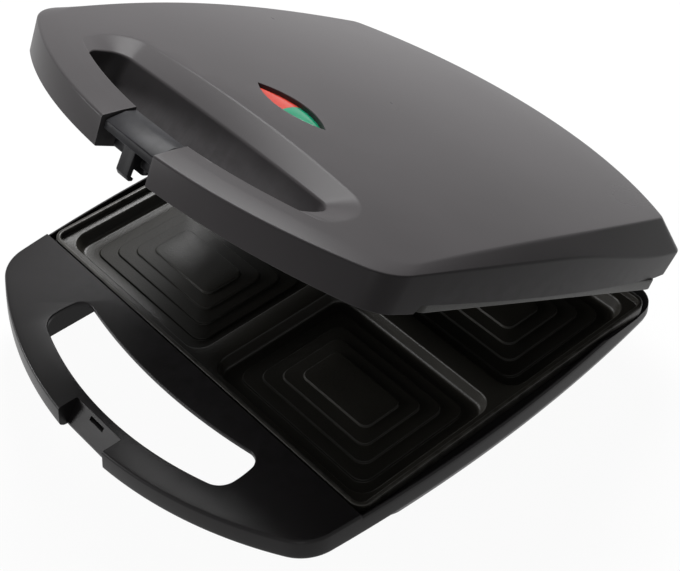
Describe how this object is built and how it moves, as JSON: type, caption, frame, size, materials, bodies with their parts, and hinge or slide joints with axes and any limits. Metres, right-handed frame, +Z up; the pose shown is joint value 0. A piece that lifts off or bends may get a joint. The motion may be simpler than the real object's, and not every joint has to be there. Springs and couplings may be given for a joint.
{
  "type": "sandwich toaster",
  "caption": "Countertop sandwich toaster with two hinged halves, stepped cooking fields, finger openings through both handles, a sprung latch and a two-colour indicator.",
  "frame": {"origin": "on the table, under the middle of the width and of the whole length from the base handle to the rear of the open lid; the middle of the plates is 14.7 mm behind it", "axes": "+X to the right seen from the handle side, -Y towards the handles, +Z up; the lid is drawn open"},
  "size_m": [0.298, 0.3532, 0.2201],
  "materials": {
    "base_moulding": "satin moulding, near black",
    "foot_rubber": "soft matt",
    "coated_plate": "cast, dark non-stick coating",
    "heater_sheath": "dull drawn tube",
    "pressed_steel": "plain pressed",
    "bright_tray": "bright rolled sheet",
    "zinc_screw": "zinc plated",
    "pale_insulator": "heat resisting, pale",
    "ceramic_body": "glazed ceramic body",
    "bush_rubber": "soft matt",
    "pin_steel": "drawn rod",
    "lid_moulding": "satin moulding, warm dark grey",
    "frame_moulding": "plain moulding, black",
    "red_lens": "clear tinted, glossy",
    "green_lens": "clear tinted, glossy",
    "red_lamp": "small neon bulb",
    "green_lamp": "small neon bulb",
    "latch_moulding": "satin moulding, dark grey",
    "spring_steel": "bright wire"
  },
  "bodies": {
    "base": {"base_shell": "base_moulding", "rubber_feet": "foot_rubber", "lower_plate": "coated_plate", "lower_heater": "heater_sheath", "lower_heater_clamps": "pressed_steel", "lower_reflector": "bright_tray", "lower_plate_screws": "zinc_screw", "terminal_block": "pale_insulator", "thermal_fuse": "ceramic_body", "cord_inlet_bush": "bush_rubber", "hinge_pin_left": "pin_steel", "hinge_pin_right": "pin_steel"},
    "lid": {"lid_shell": "lid_moulding", "lid_frame": "frame_moulding", "lid_frame_screws": "zinc_screw", "upper_plate": "coated_plate", "upper_heater": "heater_sheath", "upper_heater_clamps": "pressed_steel", "upper_reflector": "bright_tray", "upper_plate_screws": "zinc_screw", "thermostat": "ceramic_body", "thermostat_strap": "pressed_steel", "lamp_holder": "pale_insulator", "red_lens": "red_lens", "green_lens": "green_lens", "red_lamp": "red_lamp", "green_lamp": "green_lamp", "latch_pin": "pin_steel", "latch_spring": "spring_steel"},
    "latch": {"latch": "latch_moulding"}
  },
  "joints": [
    {"name": "lid_hinge", "type": "hinge", "parent": "base", "child": "lid", "pos_m": [0, 0.14538, 0.046], "axis": [-1, 0, 0], "range_deg": [-29.6, 65.4]},
    {"name": "latch_swing", "type": "hinge", "parent": "lid", "child": "latch", "pos_m": [0, -0.11354, 0.21034], "axis": [-1, 0, 0], "range_deg": [-8, 25], "stiffness_Nm_per_rad": 0.2}
  ]
}
